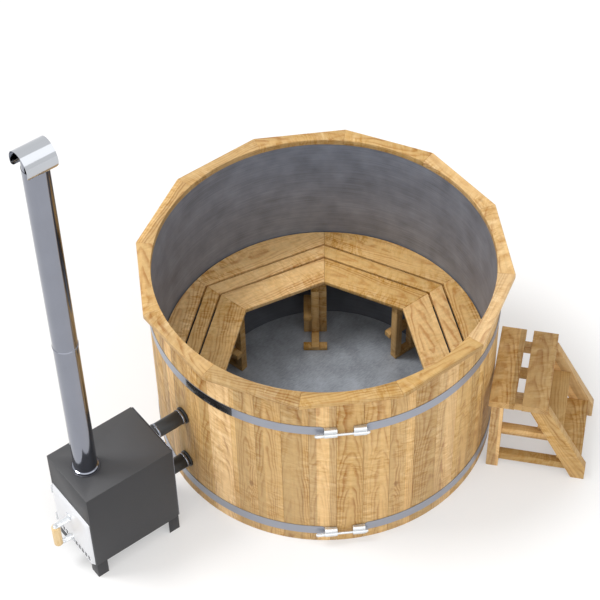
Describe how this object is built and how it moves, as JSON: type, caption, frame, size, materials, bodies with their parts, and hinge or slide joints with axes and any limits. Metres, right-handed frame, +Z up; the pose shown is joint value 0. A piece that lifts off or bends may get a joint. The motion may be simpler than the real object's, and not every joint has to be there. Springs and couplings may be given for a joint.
{
  "type": "wooden hot tub",
  "caption": "Round stave tub with steel liner and inside bench, heated by an outside wood stove with chimney and hinged door, with separate steps.",
  "frame": {"origin": "centre of the underside of the tub's floor boards, on the ground", "axes": "+Z up; the stove stands on the -X side, +Y is to the left when looking from the tub's middle away from the stove"},
  "size_m": [2.5151, 1.9286, 2.462],
  "materials": {
    "stave_wood": "planed softwood, clear oiled",
    "floor_wood": "planed softwood, unfinished",
    "rim_wood": "planed softwood, clear oiled, edges bevelled",
    "bench_wood": "planed softwood, unfinished",
    "frame_wood": "sawn softwood",
    "step_wood": "planed softwood, clear oiled",
    "liner_steel": "stainless sheet, dull brushed",
    "hoop_steel": "stainless band",
    "fitting_steel": "zinc plated",
    "plate_black": "black enamel, bare",
    "pipe_steel": "stainless tube",
    "ring_rubber": "black moulded rubber",
    "hose_rubber": "black, smooth",
    "stove_black": "matt heat resistant paint",
    "stove_top": "matt heat resistant paint",
    "tank_steel": "stainless sheet",
    "fire_steel": "heat dulled plate",
    "chimney_steel": "stainless pipe, bright",
    "door_steel": "light grey",
    "grip_wood": "turned light wood, oiled"
  },
  "bodies": {
    "tub": {"staves": "stave_wood", "port_stave": "stave_wood", "floor_boards": "floor_wood", "rim_boards": "rim_wood", "liner_wall": "liner_steel", "liner_foot_ring": "liner_steel", "liner_floor": "liner_steel", "upper_hoop": "hoop_steel", "lower_hoop": "hoop_steel", "hoop_lugs": "fitting_steel", "tension_rods": "fitting_steel", "rod_nuts": "fitting_steel", "name_plate": "plate_black", "bench_inner_boards": "bench_wood", "bench_middle_slats": "bench_wood", "bench_outer_boards": "bench_wood", "bench_battens": "frame_wood", "bench_bearers": "frame_wood", "bench_inner_posts": "frame_wood", "bench_outer_posts": "frame_wood", "bench_cross_rails": "frame_wood", "bench_runners": "frame_wood", "bench_foot_blocks": "frame_wood", "bench_side_posts": "frame_wood", "tub_port_pipes": "pipe_steel", "tub_port_rings": "ring_rubber", "tub_port_flanges": "pipe_steel", "water_hoses": "hose_rubber", "hose_clamps": "fitting_steel", "stove_stubs": "pipe_steel", "stove_casing": "stove_black", "stove_top_plate": "stove_top", "stove_feet": "stove_black", "water_tank": "tank_steel", "tank_back_plate": "tank_steel", "tank_front_frame": "fire_steel", "firebox": "fire_steel", "firebox_grate": "fire_steel", "flue_spigot": "fire_steel", "flue_collar": "chimney_steel", "lower_pipe": "chimney_steel", "upper_pipe": "chimney_steel", "cap_straps": "chimney_steel", "rain_cap": "chimney_steel", "casing_knuckles": "fitting_steel", "hinge_pins": "fitting_steel", "step_legs": "step_wood", "step_strings": "step_wood", "step_rails": "frame_wood", "step_platform": "step_wood", "step_treads": "step_wood"},
    "door": {"stove_door": "door_steel", "door_knuckles": "fitting_steel", "handle_arms": "fitting_steel", "handle_spindle": "fitting_steel", "handle_grip": "grip_wood"}
  },
  "joints": [
    {"name": "stove_door_hinge", "type": "hinge", "parent": "tub", "child": "door", "pos_m": [-1.4254, 0.1538, 0.237], "axis": [0, 0, -1], "range_deg": [0, 110]}
  ]
}
